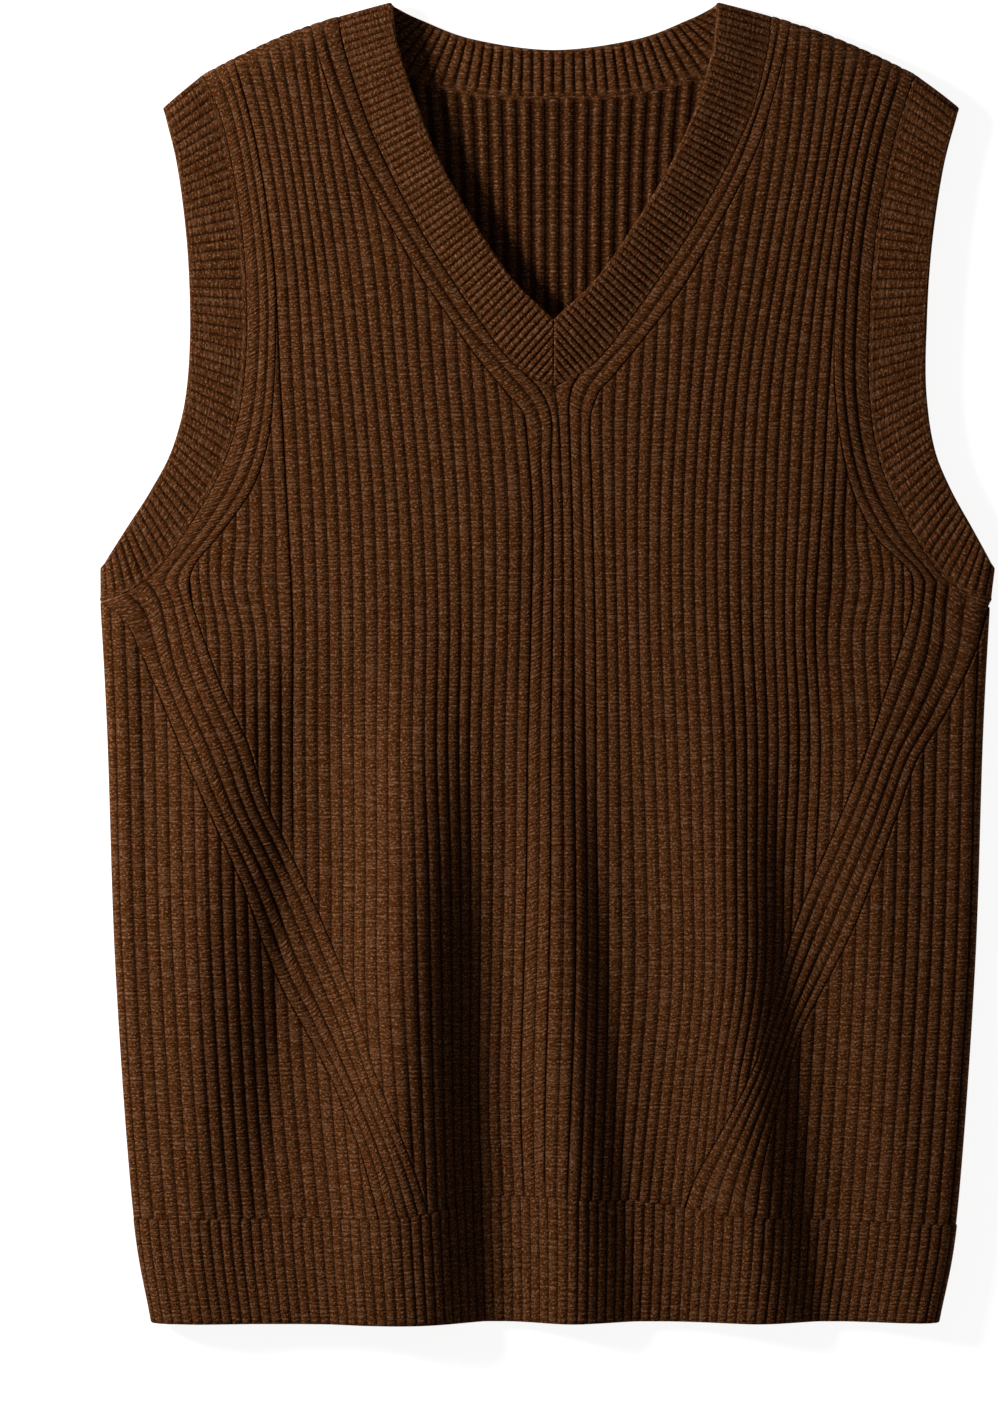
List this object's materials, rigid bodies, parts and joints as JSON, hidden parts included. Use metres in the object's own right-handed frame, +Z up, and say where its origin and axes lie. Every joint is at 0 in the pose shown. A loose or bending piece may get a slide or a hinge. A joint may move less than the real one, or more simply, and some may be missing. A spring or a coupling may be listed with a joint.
{
  "type": "knitted sweater vest",
  "caption": "Sleeveless ribbed knit pullover vest with a V neck, lying flat on its back with soft folds in its lower front.",
  "frame": {"origin": "on the surface the vest lies on, in the middle of its footprint", "axes": "+Y from the hem to the neck, +Z up away from the surface, +X towards the wearer's left"},
  "size_m": [0.4616, 0.6802, 0.023],
  "materials": {
    "body_knit": "dark brown heathered wool in wide ribs, matt",
    "band_knit": "dark brown heathered wool in fine ribs, matt"
  },
  "bodies": {
    "root": {"front_body": "body_knit", "back_body": "body_knit", "hem_rib_front": "body_knit", "hem_rib_back": "body_knit", "neckband": "band_knit", "armhole_band_right": "band_knit", "armhole_band_left": "band_knit"}
  },
  "joints": []
}
